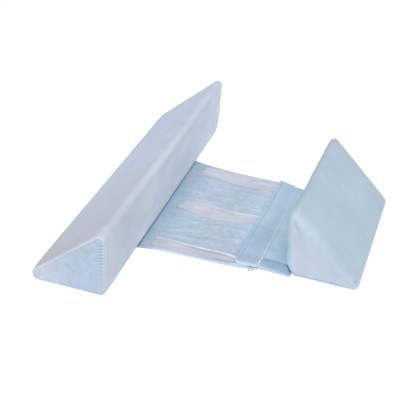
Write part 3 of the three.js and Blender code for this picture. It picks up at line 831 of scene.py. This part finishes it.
def short_colour(points, f):
    at_face, strip = fade(f.y, 5, 9), fade(f.y, 8, 20)
    beyond, line = front_seam(f)
    # Painted shade over the round between the slope and the near end panel, softer higher up.
    crease = at_face * smooth(f.slope, 0.5, 1) * bell(f.inset, 1.8, 2.8) * mix(1, 0.4, smooth(f.z, 30, 75))
    # A painted highlight on top of the near end.
    tip = smooth(f.z, 62, 80) * fade(f.y, 7, 20) * (f.share >= 1)
    foot = at_face * fade(f.z, 2.2, 4.2) * fade(f.x, 60, 74)
    return dyed(
        toned(DYE["short_slope"], 0.012 * field(points, 45, 31)),
        ("short_face", smooth(f.inset, 0, 2.6) * (f.y < 60)), ("short_crease_painted_shade", 0.4 * crease),
        ("short_strip", strip * smooth(beyond, 0.02, 0.14)),
        ("short_seam", 0.35 * strip * line * smooth(f.z, 2, 12)), ("short_top_painted_highlight", 0.75 * tip),
        ("short_seam", 0.7 * f.inner * bell(f.z, 6, 3)), ("short_foot", 0.85 * foot),
        # Painted shade in the dent.
        ("deep_painted_shade", 0.6 * at_face * dent(f, 1.8)))


# Base panel, tapes and flap.

def scattered_wrinkles():
    """Fine wrinkles of the open panel, mostly from left to right, the same on each run."""
    rng = np.random.default_rng(71)
    found = []
    for _ in range(WRINKLES.count):
        middle = np.array([rng.uniform(14, 134), rng.uniform(104, 296)])
        length = rng.uniform(*WRINKLES.length)
        turn = rng.normal(0, WRINKLES.turn)
        reach = length / 2 * np.array([math.cos(turn), math.sin(turn)])
        bend, half = rng.normal(0, WRINKLES.bend), rng.uniform(*WRINKLES.half)
        height = rng.uniform(*WRINKLES.height) * rng.choice([-1, 1])
        found.append((middle - reach, middle + reach, bend, half, height))
    return found


WRINKLED = scattered_wrinkles()


def crease_relief(x, y, creases):
    """Height of creases, each bent between its ends and fading at both."""
    total = np.zeros_like(x)
    for a, b, bend, half, height in creases:
        way = np.subtract(b, a, dtype=float)
        size = np.linalg.norm(way)
        way = way / size
        t = ((x - a[0]) * way[0] + (y - a[1]) * way[1]) / size
        off = (x - a[0]) * -way[1] + (y - a[1]) * way[0]
        ends = smooth(t, -0.1, 0.18) * fade(t, 0.82, 1.1)
        total += height * ends * bell(off, bend * 4 * t * (1 - t), half)
    return total


def tape_lines(tape, x):
    return panel_line(tape.name + "_low", x), panel_line(tape.name + "_high", x)


def tape_cover(x, y):
    """How far a place lies under a tape, from 0 to 1."""
    cover = np.zeros_like(x)
    for tape in TAPES:
        low, high = tape_lines(tape, x)
        start = mix(*tape.start, np.clip((y - low) / (high - low), 0, 1))
        inside = smooth(y, low - 2, low + 1) * fade(y, high - 1, high + 2)
        cover = np.maximum(cover, inside * smooth(x, start - 2, start + 1))
    return cover


def curl_share(x, y):
    """The curl behind the near tape: its share of full height, the tape's own fold, and how far a
    place lies behind the crest."""
    hold = mix(1, CURL_PRESSED.keep, smooth(x, *CURL_PRESSED.span))
    behind = y - (panel_line("near_high", x) - CURL.back)
    half = np.where(behind < 0, CURL.near, CURL.far)
    share = smooth(x, *CURL.span) * hold * bell(behind, 0, half)
    fold = bell(behind, -CURL_FOLD.in_front, CURL_FOLD.half)
    return share, fold * smooth(x, *CURL_FOLD.span) * hold, behind


def panel_lift(x, y):
    """Height of the panel's underside over the floor."""
    pressed = mix(1, UNDER_FLAP.keep, smooth(x, *UNDER_FLAP.span))
    crinkle = np.zeros_like(x)
    for c in CRINKLES:
        turn = math.tau * (y + c.bend * np.sin(x / c.reach + c.phase)) / c.pitch
        crinkle += c.height * np.maximum(np.sin(turn + c.phase), CRINKLE_BASE.trough)
    near = bell(x, PUCKERS.x, PUCKERS.width) * bell(y, PUCKERS.y, PUCKERS.depth)
    crinkle += PUCKERS.height * near * np.sin(math.tau * (x + 0.6 * y) / PUCKERS.pitch)
    rumple = RUMPLE.height * field(flat(x, y), RUMPLE.size, 41, (RUMPLE.stretch, 1, 1))
    fine = (0.8 * crease_relief(x, y, CREASES) + crease_relief(x, y, WRINKLED)) + rumple
    cover = mix(1, UNDER_TAPE, tape_cover(x, y))
    share, fold, _ = curl_share(x, y)
    lip = LIP.height * smooth(x, *LIP.span)
    lip = lip * bell(y - panel_line("middle_high", x), -LIP.back, LIP.half)
    edge = panel_line("near", x)
    bunched = bell(x, BUNCH.x, BUNCH.half) * fade(y, edge, edge + BUNCH.depth)
    bunch = BUNCH.height * bunched * (0.5 + 0.5 * np.sin(math.tau * x / BUNCH.pitch))
    hemmed = mix(0.12, 1, smooth(y, edge + 2, edge + 8))
    wavy = smooth(x, *SEAM_FLAT) * pressed * cover * (hemmed * (crinkle + fine) + CRINKLE_BASE.lift)
    curled = CURL.height * share - CURL_FOLD.depth * fold
    return np.maximum(wavy + curled + pressed * lip + bunch, 0)


def panel_thickness(x, y):
    edge = panel_line("near", x)
    hem = fade(y, edge, edge + PANEL_HEM.width)
    return PANEL_THICK + PANEL_HEM.extra * hem * smooth(x, *SEAM_FLAT)


def behind_tapes(x, y):
    """How far a place lies in the shade behind a raised tape edge, from 0 to 1."""
    shade = np.zeros_like(x)
    for line, start, full in (("near_high", 14, 50), ("middle_high", 70, 110)):
        shade = np.maximum(shade, bell(y - panel_line(line, x), 2, 2) * smooth(x, start, full))
    return shade


def lean_over(x, y):
    """How far the curl leans toward the tape."""
    return -CURL.over * curl_share(x, y)[0] ** 2


def sheet_grids(x, y, under, thick, edge, settled=0.0):
    """Under and upper points of a sheet, rounded at its cut edges, from each point's distance to
    the nearest one. Settled edges lie down instead of hanging half way up."""
    t = 1 - np.clip(edge / EDGE_ROUND, 0, 1)
    full = np.maximum(np.sqrt(np.maximum(1 - t * t, 0)), 0.12)
    low = under + thick * (1 - full) / 2 * (1 - settled)
    return np.stack([x, y, low], axis=-1), np.stack([x, y, low + thick * full], axis=-1)


def sheet_piece(name, grids, dye, material, slot, node):
    """One closed body from grids of under and upper points, dyed alike."""
    at = np.arange(dye[..., 0].size).reshape(dye.shape[:2])
    quads = np.stack([at[:-1, :-1], at[:-1, 1:], at[1:, 1:], at[1:, :-1]], axis=-1).reshape(-1, 4)
    both = np.stack([quads + at.size, quads[:, ::-1]], axis=1).reshape(-1, 4)
    rim = np.concatenate([at[0], at[1:, -1], at[-1, -2::-1], at[-2:0:-1, 0]])
    on = np.roll(rim, -1)
    faces = np.concatenate([both, np.stack([rim, on, on + at.size, rim + at.size], axis=-1)])
    points = np.concatenate([grid.reshape(-1, 3) for grid in grids])
    dyes = np.tile(dye.reshape(-1, 3), (2, 1))
    return piece(name, points, faces.tolist(), dyes, material, slot, node)


def least(*distances):
    return np.min(np.broadcast_arrays(*distances), axis=0)


def panel_rows(xs):
    """The panel's rows, spaced evenly between its lines, as y at each x."""
    rows = []
    for low, high in zip(list(PANEL_LINES), list(PANEL_LINES)[1:]):
        width = float(np.mean(np.subtract(PANEL_LINES[high], PANEL_LINES[low])))
        count = max(2, round(width / CLOTH_STEP))
        rows += [mix(panel_line(low, xs), panel_line(high, xs), k / count) for k in range(count)]
    return np.array([*rows, panel_line("far", xs)])


def base_panel(material):
    start = PANEL_X[0] - PANEL_TUCK.first
    xs = np.linspace(start, PANEL_X[-1], round((PANEL_X[-1] - start) / CLOTH_STEP) + 1)
    y = panel_rows(xs)
    beside = LONG.place[0] - math.tan(math.radians(LONG.turn)) * (y - PANEL_LINES["near"][0])
    x = xs + (beside - PANEL_TUCK.past) * fade(xs, 0, PANEL_TUCK.reach)
    near = y[0]
    thick = panel_thickness(x, y) * (1 - PANEL_TUCK.thinner * (x < PANEL_X[0]))
    edge = least(y - near, y[-1] - y, xs - xs[0], xs[-1] - xs)
    out = BUNCH.out * bell(x, BUNCH.x, BUNCH.half) * np.clip(1 - (y - near) / BUNCH.reach, 0, 1)
    out = out * (0.65 + 0.35 * np.sin(math.tau * x / BUNCH.pitch + 1))
    grids = sheet_grids(x, y - out + lean_over(x, y), panel_lift(x, y), thick, edge)
    place = flat(x, y)
    blue = smooth(field(place, 24, 44, (1.5, 1, 1)) + 0.6 * field(place, 9, 45), -1.2, 1.2)
    raised = crease_relief(x, y, CREASES + WRINKLED)
    # Random mottle with painted light and shade: painted shade behind the raised tape edges, a painted
    # highlight on the ridge under the middle tape's near edge, painted light beside the flap's left edge
    # where the flap shades the panel, and a little darker in a band across the panel's near part.
    mottle_and_painted_light = 0.02 * field(place, 6, 42, (1.4, 1, 1)) - 0.09 * behind_tapes(x, y)
    mottle_and_painted_light = mottle_and_painted_light + 0.06 * bell(y - panel_line("middle_low", x), -1.4, 1.1) * smooth(x, 80, 100)
    mottle_and_painted_light = mottle_and_painted_light + 0.13 * smooth(x, 104, 124) * smooth(y, 126, 150)
    mottle_and_painted_light = mottle_and_painted_light - 0.05 * bell(y, 140, 22) * smooth(x, 20, 50)
    # Painted shade on the panel beside the long bolster, darkest in the crevice at its edge.
    dye = dyed(
        "panel", ("panel_blue", 0.7 * blue), ("panel_painted_shade", 0.8 * fade(x, 4, 46)),
        ("crevice_painted_shade", 0.9 * fade(x, 1, 3.4)))
    # Painted light and shade on the creases and wrinkles: lighter on their crests, darker in their troughs.
    dye = dyed(
        toned(dye, np.clip(0.08 * raised, -0.06, 0.04) + mottle_and_painted_light),
        ("hem", 0.85 * fade(y - near, 3, 5) * smooth(x, 5, 30)),
        # Painted light under the flap's near rim, where the flap shades the panel.
        ("pale_painted_light", 0.6 * smooth(x, 122, 128) * bell(y - near, 5, 2.4)))
    obj = sheet_piece("plush_base_panel", grids, dye, material, "panel_plush", "base_panel")


def rim_painted_highlight(tape, x, y, high_line):
    """Share of the painted highlight on the far rim, where a tape's far edge stands up."""
    if tape.name == "near":
        turned = 1.7 * smooth(x, *CURL.span)
        return smooth(curl_share(x, y)[2], 0.2 - turned, 1.2 - turned)
    start = {"middle": (25, 70), "far": (-60, 60)}[tape.name]
    return smooth(x, *start) * fade(high_line - y, 1.6, 3)


def loop_tape(tape, material):
    """A tape on the panel, from its slanted start to its end under the flap. Returns the lines of
    its stitches."""
    share = np.linspace(0, 1, round(TAPE_WIDTH / TAPE_STEP) + 1)[:, None]
    start = mix(*tape.start, share)
    x = mix(start, TAPE_END, np.linspace(0, 1, round((TAPE_END - TAPE_START) / TAPE_STEP) + 1)[None, :])
    low_line, high_line = tape_lines(tape, x)
    y = mix(low_line, high_line, share)
    place = flat(x, y)
    rough = 0.10 * field(place, 6, 51, (2.5, 1, 1)) + 0.05 * field(place, 2.6, 52)
    edge = least(y - low_line, high_line - y, x - start, TAPE_END - x)
    thick = TAPE_THICK + np.clip(rough, -0.25, 0.25) * smooth(edge, 0, 2)
    under = panel_lift(x, y) + panel_thickness(x, y) + PIECE_GAP * mix(0.3, 1, smooth(edge, 0.4, 2.6))
    grids = sheet_grids(x, y + lean_over(x, y), under, thick, edge, 1)
    # Painted shade in the fold below the near tape's curled rim and along the near tape's low edge.
    fold = np.clip(curl_share(x, y)[1], 0, 1)
    painted_shade_at_low_edge = smooth(x, 84, 106) * fade(y - low_line, 1, 2.4) * (tape.name == "near")
    dye = dyed(
        # Each tape's painted shade on the near tape and light on the far one, with random tone.
        toned(tape.shade * DYE["tape"], 0.02 * field(place, 9, 53, (3, 1, 1))),
        ("tape_edge", 0.75 * fade(edge, 1, 2.6)), ("tape_fold_painted_shade", 0.8 * fold),
        # A painted highlight on the raised far rim.
        ("rim_painted_highlight", 0.8 * rim_painted_highlight(tape, x, y, high_line)), ("tape_fold_painted_shade", 0.75 * painted_shade_at_low_edge))
    node = "loop_tape_" + tape.name
    obj = sheet_piece("fuzzy_" + node, grids, dye, material, "loop_tape", node)
    inset = round(1.6 / TAPE_STEP)
    upper = grids[1]
    return upper[inset], upper[-1 - inset], upper[:, inset]


def seam_x(y):
    """Place of the short bolster's inner bottom edge, less the seam's gap."""
    return SHORT.place[0] - FLAP_SEAM + math.tan(math.radians(-SHORT.turn)) * (y - SHORT.place[1])


def flap_lift(x, y, inside):
    """Height of the flap's underside, a distance in from its near edge."""
    raised = smooth(x, *FLAP_OVER.span)
    free = fade(x, FLAP_ROLL_END.span[0], SHORT.place[0] - FLAP_SEAM)
    deep = mix(FLAP_ROLL.deep, FLAP_ROLL_END.deep, smooth(x, *FLAP_ROLL_END.span))
    grow = smooth(x, *FLAP_ROLL.span) * free
    roll = FLAP_ROLL.height * grow * np.sin(math.pi * np.clip(inside / deep, 0, 1))
    rest = FLAP_REST.height * smooth(inside, deep, deep + FLAP_REST.reach) * raised
    wave = 0.5 + 0.5 * np.sin(math.tau * y / FLAP_WAVE.along + x / FLAP_WAVE.across)
    return mix(FLAP_OVER.height, FLAP_OVER.low, raised) + roll + (rest + FLAP_WAVE.height * wave) * free


def flap_under(x, y, near_x, inside, creases, valleys):
    """Height of the flap's underside, resting on the panel and tapes where it droops."""
    under = flap_lift(near_x, y, inside) + creases * smooth(x, 150, 160) + valleys
    droop = fade(inside, 0, FLAP_DROOP.reach) * fade(x, *FLAP_DROOP.span)
    tape = (TAPE_THICK + PIECE_GAP + FLAP_DROOP.clear) * tape_cover(x, y)
    covered = panel_lift(x, y) + panel_thickness(x, y) + tape
    return np.maximum(mix(under, covered + PIECE_GAP, droop), PIECE_GAP)


def flap(material):
    """The flap from its free left edge to its seam. Returns the lines of its two rows of stitches."""
    distance = np.linspace(0, FLAP_WIDTH, round(FLAP_WIDTH / FLAP_STEP) + 1)[None, :]
    share = np.linspace(0, 1, FLAP_ROWS)[:, None]
    near_x = mix(FLAP_LEFT.near, seam_x(FLAP_NEAR.y[-1]), distance / FLAP_WIDTH)
    far_x = mix(FLAP_LEFT.far, seam_x(FLAP_FAR.y[-1]), distance / FLAP_WIDTH)
    near_edge = along(FLAP_NEAR.x, FLAP_NEAR.y, near_x)
    far_edge = along(FLAP_FAR.x, FLAP_FAR.y, far_x) - FLAP_CORNER.cut * fade(distance, 0, FLAP_CORNER.reach)
    y = mix(near_edge, far_edge, share)
    x = mix(near_x, far_x, share) + FLAP_BOW.out * bell(y, FLAP_BOW.y, FLAP_BOW.half) * fade(distance, 10, 40)
    inside = y - near_edge
    creases, valleys = crease_relief(x, y, FLAP_CREASES), crease_relief(x, y, FLAP_VALLEYS)
    under = flap_under(x, y, near_x + 0 * y, inside, creases, valleys)
    hem = FLAP_HEM
    groove = bell(distance, hem.groove, hem.half) + bell(distance, hem.stitch, hem.half)
    place = flat(x, y)
    rough = 0.12 * field(place, 16, 61) + 0.05 * field(place, 5, 62)
    thick = FLAP_THICK + hem.extra * fade(distance, hem.width - 0.6, hem.width + 0.8) - hem.sunk * groove
    thick = thick + rough + 0.5 * creases * fade(x, 150, 160)
    grids = sheet_grids(x, y, under, thick, least(inside, far_edge - y, distance), fade(x, 152, 162))
    low_part = bell(y, 150, 48) * smooth(distance, 7, 12) * fade(distance, 46, 58)
    # Painted shade in the hem's groove and beside the stitch line, a painted highlight on the fold beside the
    # groove, and the flap a little darker across its middle.
    lines = 0.05 * bell(distance - hem.groove, 2.3, 0.8) - 0.09 * bell(distance, hem.groove, 1.1)
    lines = lines - 0.06 * bell(distance - hem.stitch, 2, 1.1) - 0.05 * low_part
    dye = dyed(
        "flap", ("flap_left", fade(distance, 12, 34) * smooth(y, 160, 215)),
        # Painted light near the short bolster, where its round lower edge shades the flap.
        ("flap_right_painted_light", smooth(x, 151, 169) * smooth(inside, 13, 22)),
        # Painted shade on the roll at the flap's near edge.
        ("deep_painted_shade", smooth(x, 154, 168) * fade(inside, 10, 16)),
        # Painted light beside the seam, where the short bolster shades the flap.
        ("pale_painted_light", smooth(distance, 58, 65) * smooth(inside, 14, 26)))
    wide = mix(3.4, 1.5, smooth(x, 150, 160))
    # Painted shade in the valley behind the roll, deeper toward the seam.
    deep = np.clip(-valleys / 0.7, 0, 1) * mix(0.15, 0.4, smooth(x, 182, 192))
    # Random tone, the painted groove light and shade, and painted light and shade on the flap's creases
    # following their rise and fall.
    dye = dyed(
        toned(dye, 0.015 * field(place, 22, 63) + lines + 0.06 * creases),
        ("flap_rim", 0.8 * fade(inside, wide - 1.5, wide)), ("valley_painted_shade", deep))
    obj = sheet_piece("hemmed_flap", grids, dye, material, "flap_plush", "flap")
    return [grids[1][:, np.argmin(np.abs(distance[0] - d))] for d in (hem.stitch, hem.groove + 0.4)]


# Stitches sewn by hand.

def knot_turns(line, turns):
    """Turns of a knotted thread across a row of stitches, each from one place to another."""
    def place(y, aside):
        return np.interp(y, line[:, 1], line[:, 0]) + aside, y, np.interp(y, line[:, 1], line[:, 2])
    return [(place(*start), place(*end), UP) for start, end in turns]


def closing_stitches(points, facts):
    """Hand stitches that close the end seam, just in from the near upright edge."""
    off_seam = np.abs(facts.inset[:60, 0] - CLOSING.inset) + 10 * (facts.share[:60, 0] < 1)
    ring = int(np.argmin(off_seam))
    upright = points[ring][facts.inner[ring] > 0.98]
    upright = upright[np.argsort(upright[:, 2])]
    stitches = []
    for k in range(CLOSING.count):
        z = CLOSING.low + CLOSING.pitch * k
        x, y = (float(np.interp(z, upright[:, 2], upright[:, i])) for i in (0, 1))
        a = (x + 2.3, y - 0.5, z + 0.4 * math.sin(2.1 * k))
        b = (x - 2.2 - 0.5 * math.sin(1.7 * k), y - 0.5, z - 0.3 + 0.3 * math.sin(3.3 * k))
        stitches.append((a, b, (0, -1, 0)))
    return stitches


# Camera, light and floor.

def make_camera():
    data = bpy.data.cameras.new("camera")
    data.sensor_width = SENSOR
    data.lens = CAMERA.focal_px * SENSOR / IMAGE_PX
    data.clip_start, data.clip_end = 0.05, 50
    camera = new_object("camera", data)
    camera.location = (np.array(CAMERA.place) + ORIGIN) * MM
    camera.rotation_euler = (math.radians(90 - CAMERA.elevation), 0, math.radians(CAMERA.azimuth))
    bpy.context.scene.camera = camera


def area_light(name, spec, target=(0, 0, 0.03)):
    data = bpy.data.lights.new(name, "AREA")
    data.shape = "SQUARE"
    data.size = spec.size
    data.energy = spec.power
    light = new_object(name, data)
    light.location = spec.place
    light.rotation_euler = (Vector(target) - light.location).to_track_quat("-Z", "Y").to_euler()


def make_room():
    world = bpy.data.worlds.new("studio")
    world.use_nodes = True
    sky = world.node_tree.nodes["Background"]
    sky.inputs["Color"].default_value = (1, 1, 1, 1)
    sky.inputs["Strength"].default_value = SKY
    bpy.context.scene.world = world
    for name, spec in LIGHTS.items():
        area_light(name, spec)
    half = FLOOR.half
    mesh = bpy.data.meshes.new("floor")
    corners = [(-half, -half, 0), (half, -half, 0), (half, half, 0), (-half, half, 0)]
    mesh.from_pydata(corners, [], [(0, 1, 2, 3)])
    material, _, _ = new_material("floor_white", {
        "Base Color": (*FLOOR.colour, 1), "Roughness": 0.95, "Specular IOR Level": 0,
        "Emission Color": (1, 1, 1, 1), "Emission Strength": FLOOR.glow})
    mesh.materials.append(material)
    new_object("floor", mesh)
    bpy.context.scene.view_settings.view_transform = "Standard"


def build():
    make_camera()
    make_room()
    long_plush = plush("long_bolster_plush", pile=900, broad=26, strength=0.35)
    short_plush = plush("short_bolster_plush", pile=900, broad=22, strength=0.35)
    panel_plush = plush("panel_plush", pile=800, broad=60, strength=0.5, stretch=(0.5, 1, 1))
    flap_plush = plush("flap_plush", pile=1000, broad=34, strength=0.3)
    tape_loops = plush(
        "tape_loops", pile=620, broad=90, strength=0.7, roughness=(0.7, 0.9), sheen=0.1)
    pale_thread = thread_material("pale_thread", DYE["thread"])
    blue_thread = thread_material("blue_thread", DYE["closing_thread"])
    tape_thread = thread_material("tape_thread", DYE["tape"] * 1.03)
    hem_thread = thread_material("hem_thread", DYE["flap_rim"])
    knot_thread = thread_material("knot_thread", DYE["knot"])

    points, facts = finish_bolster(
        "long_bolster", LONG, (WELTED_END, WELTED_END), long_relief, long_colour, long_plush)
    finish_bolster("short_bolster", SHORT, (SOFT_END, TIGHT_END), short_relief, short_colour, short_plush)
    threads("closing_stitches", closing_stitches(points, facts), 0.5, blue_thread, "long_bolster_plush")
    base_panel(panel_plush)
    for tape in TAPES:
        rows = [stitch for line in loop_tape(tape, tape_loops) for stitch in stitch_row(line, 3.2, 2.5)]
        threads("loop_tape_" + tape.name + "_stitches", rows, 0.2, tape_thread, "loop_tape")
    stitch_line, hem_line = flap(flap_plush)
    threads("flap_stitches", stitch_row(stitch_line, 3.7, 3.2), 0.8, pale_thread, "flap_plush")
    threads("flap_hem_stitches", stitch_row(hem_line, 3.3, 2.7), 0.22, hem_thread, "flap_plush")
    threads("flap_knot", knot_turns(stitch_line, KNOT), 0.85, pale_thread, "flap_plush")
    threads("flap_knot_end", knot_turns(stitch_line, KNOT_END), 0.6, knot_thread, "flap_plush")


build()
